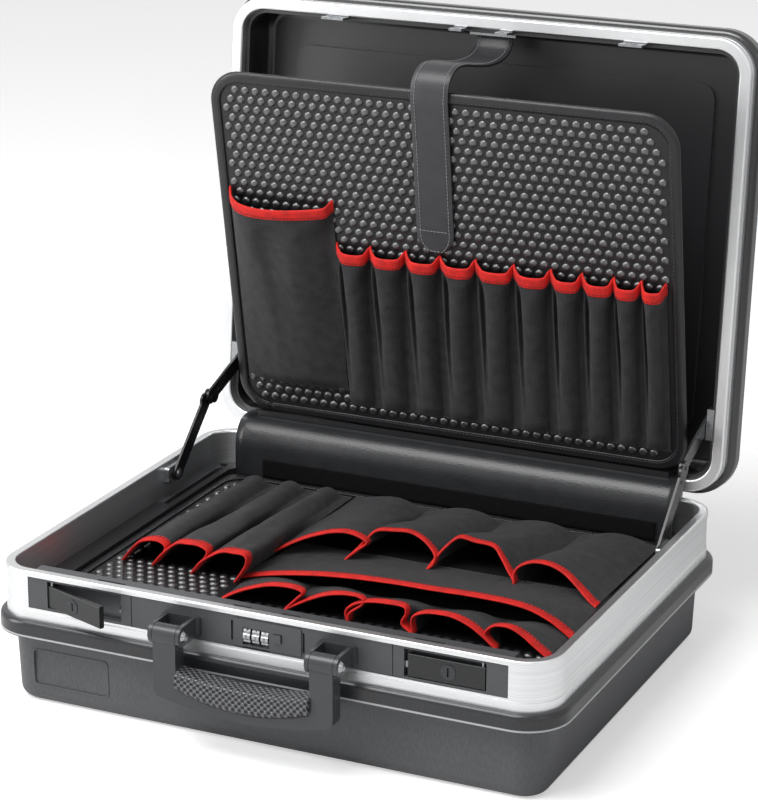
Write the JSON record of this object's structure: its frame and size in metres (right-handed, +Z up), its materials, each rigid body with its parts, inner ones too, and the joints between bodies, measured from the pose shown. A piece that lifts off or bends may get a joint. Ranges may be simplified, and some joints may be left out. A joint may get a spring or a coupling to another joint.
{
  "type": "hard tool case",
  "caption": "Moulded hard case with aluminium rim frames, hinged lid on folding stays, carrying handle, latches with key and combination locks, and two pocket boards for hand tools.",
  "frame": {"origin": "centre of the flat underside that the case rests on", "axes": "+X to the right of the handle side, +Y from the handle side to the hinge side, +Z up"},
  "size_m": [0.476, 0.4934, 0.4939],
  "materials": {
    "black_abs": "fine grain",
    "frame_aluminium": "brushed and anodised",
    "lock_plastic": "satin",
    "lock_metal": "satin black",
    "dial_plastic": "gloss",
    "bright_steel": "polished",
    "stay_steel": "satin black",
    "bracket_steel": "zinc plated",
    "handle_plastic": "moulded",
    "grip_rubber": "net texture",
    "leatherette": "embossed",
    "bubble_board": "dimpled",
    "red_binding": "woven",
    "hook_and_loop": "loop pile"
  },
  "bodies": {
    "base": {"base_shell": "black_abs", "base_frame": "frame_aluminium", "lock_strip": "lock_plastic", "lock_case": "lock_plastic", "combination_plate": "lock_metal", "dial_axle": "bright_steel", "latch_pins": "bright_steel", "latch_catches": "bright_steel", "handle_brackets": "lock_metal", "handle_pins": "bright_steel", "base_tray_rim": "black_abs", "hinge_base_leaf": "bright_steel", "hinge_pin": "bright_steel", "stay_base_brackets": "bracket_steel", "hinge_cover": "leatherette", "hook_strip": "hook_and_loop"},
    "lid": {"lid_shell": "black_abs", "lid_frame": "frame_aluminium", "hinge_lid_leaf": "bright_steel", "latch_strikes": "bright_steel", "lock_strikes": "bright_steel", "stay_lid_brackets": "bracket_steel", "strap_anchor": "leatherette", "strap_bridge": "leatherette", "board_rail": "black_abs"},
    "lid_board": {"lid_board": "bubble_board", "lid_board_binding": "leatherette", "large_pocket": "leatherette", "large_pocket_binding": "red_binding", "small_pockets": "leatherette", "small_pocket_bindings": "red_binding", "strap_tab": "leatherette", "strap_fastener": "hook_and_loop"},
    "base_board": {"base_board": "bubble_board", "base_board_binding": "leatherette", "left_pockets": "leatherette", "left_pocket_bindings": "red_binding", "long_pocket": "leatherette", "long_pocket_binding": "red_binding", "rear_pockets": "leatherette", "rear_pocket_bindings": "red_binding", "front_pockets": "leatherette", "front_pocket_bindings": "red_binding"},
    "handle": {"handle_frame": "handle_plastic", "handle_grip": "grip_rubber"},
    "latch_left": {"latch_left": "lock_metal"},
    "key_left": {"key_cylinder_left": "bright_steel"},
    "latch_right": {"latch_right": "lock_metal"},
    "key_right": {"key_cylinder_right": "bright_steel"},
    "dial_left": {"dial_left": "dial_plastic"},
    "dial_middle": {"dial_middle": "dial_plastic"},
    "dial_right": {"dial_right": "dial_plastic"},
    "lock_button": {"lock_button": "lock_metal"},
    "stay_left_lower": {"stay_left_lower": "stay_steel"},
    "stay_left_upper": {"stay_left_upper": "stay_steel"},
    "stay_right_lower": {"stay_right_lower": "stay_steel"},
    "stay_right_upper": {"stay_right_upper": "stay_steel"}
  },
  "joints": [
    {"name": "lid_hinge", "type": "hinge", "parent": "base", "child": "lid", "pos_m": [0, 0.1908, 0.1137], "axis": [1, 0, 0], "range_deg": [0, 95.5], "deforming": ["hinge_cover"]},
    {"name": "lid_board_fold", "type": "hinge", "parent": "lid", "child": "lid_board", "pos_m": [0, 0.18958, 0.13534], "axis": [-1, 0, 0], "range_deg": [0, 23.2], "deforming": ["strap_bridge"]},
    {"name": "base_board_lift", "type": "hinge", "parent": "base", "child": "base_board", "pos_m": [0, 0.1601, 0.0815], "axis": [1, 0, 0], "range_deg": [-40, 0]},
    {"name": "handle_swing", "type": "hinge", "parent": "base", "child": "handle", "pos_m": [0, -0.2095, 0.094], "axis": [-1, 0, 0], "range_deg": [0, 95]},
    {"name": "latch_left_swing", "type": "hinge", "parent": "base", "child": "latch_left", "pos_m": [-0.1796, -0.1843, 0.0839], "axis": [0, 0, 1], "range_deg": [-15, 20]},
    {"name": "latch_right_swing", "type": "hinge", "parent": "base", "child": "latch_right", "pos_m": [0.1796, -0.1843, 0.0839], "axis": [0, 0, -1], "range_deg": [-35, 0]},
    {"name": "key_left_turn", "type": "hinge", "parent": "latch_left", "child": "key_left", "pos_m": [-0.15536, -0.19546, 0.0947], "axis": [-0.342, -0.9397, 0], "range_deg": [0, 90]},
    {"name": "key_right_turn", "type": "hinge", "parent": "latch_right", "child": "key_right", "pos_m": [0.153, -0.1865, 0.0947], "axis": [0, -1, 0], "range_deg": [0, 90]},
    {"name": "lock_button_press", "type": "slide", "parent": "base", "child": "lock_button", "axis": [0, 1, 0], "range_m": [0, 0.0012], "stiffness_N_per_m": 300, "springref_m": -0.001},
    {"name": "dial_left_turn", "type": "hinge", "parent": "base", "child": "dial_left", "pos_m": [-0.0102, -0.1793, 0.0935], "axis": [1, 0, 0], "continuous": true},
    {"name": "dial_middle_turn", "type": "hinge", "parent": "base", "child": "dial_middle", "pos_m": [-0.0027, -0.1793, 0.0935], "axis": [1, 0, 0], "continuous": true},
    {"name": "dial_right_turn", "type": "hinge", "parent": "base", "child": "dial_right", "pos_m": [0.0048, -0.1793, 0.0935], "axis": [1, 0, 0], "continuous": true},
    {"name": "stay_left_lower_swing", "type": "hinge", "parent": "base", "child": "stay_left_lower", "pos_m": [-0.2175, 0.086, 0.103], "axis": [-1, 0, 0], "range_deg": [0, 76.56]},
    {"name": "stay_left_upper_swing", "type": "hinge", "parent": "lid", "child": "stay_left_upper", "pos_m": [-0.2151, 0.20354, 0.17506], "axis": [-1, 0, 0], "range_deg": [0, 4.37]},
    {"name": "stay_right_lower_swing", "type": "hinge", "parent": "base", "child": "stay_right_lower", "pos_m": [0.2175, 0.086, 0.103], "axis": [-1, 0, 0], "range_deg": [0, 76.56]},
    {"name": "stay_right_upper_swing", "type": "hinge", "parent": "lid", "child": "stay_right_upper", "pos_m": [0.2151, 0.20354, 0.17506], "axis": [-1, 0, 0], "range_deg": [0, 4.37]}
  ],
  "couplings": [
    {"joint": "lid_board_fold", "follows": "lid_hinge", "ratio": 0.23979},
    {"joint": "stay_left_lower_swing", "follows": "lid_hinge", "ratio": 0.79856},
    {"joint": "stay_left_upper_swing", "follows": "lid_hinge", "ratio": 0.04265},
    {"joint": "stay_right_lower_swing", "follows": "lid_hinge", "ratio": 0.79856},
    {"joint": "stay_right_upper_swing", "follows": "lid_hinge", "ratio": 0.04265}
  ]
}
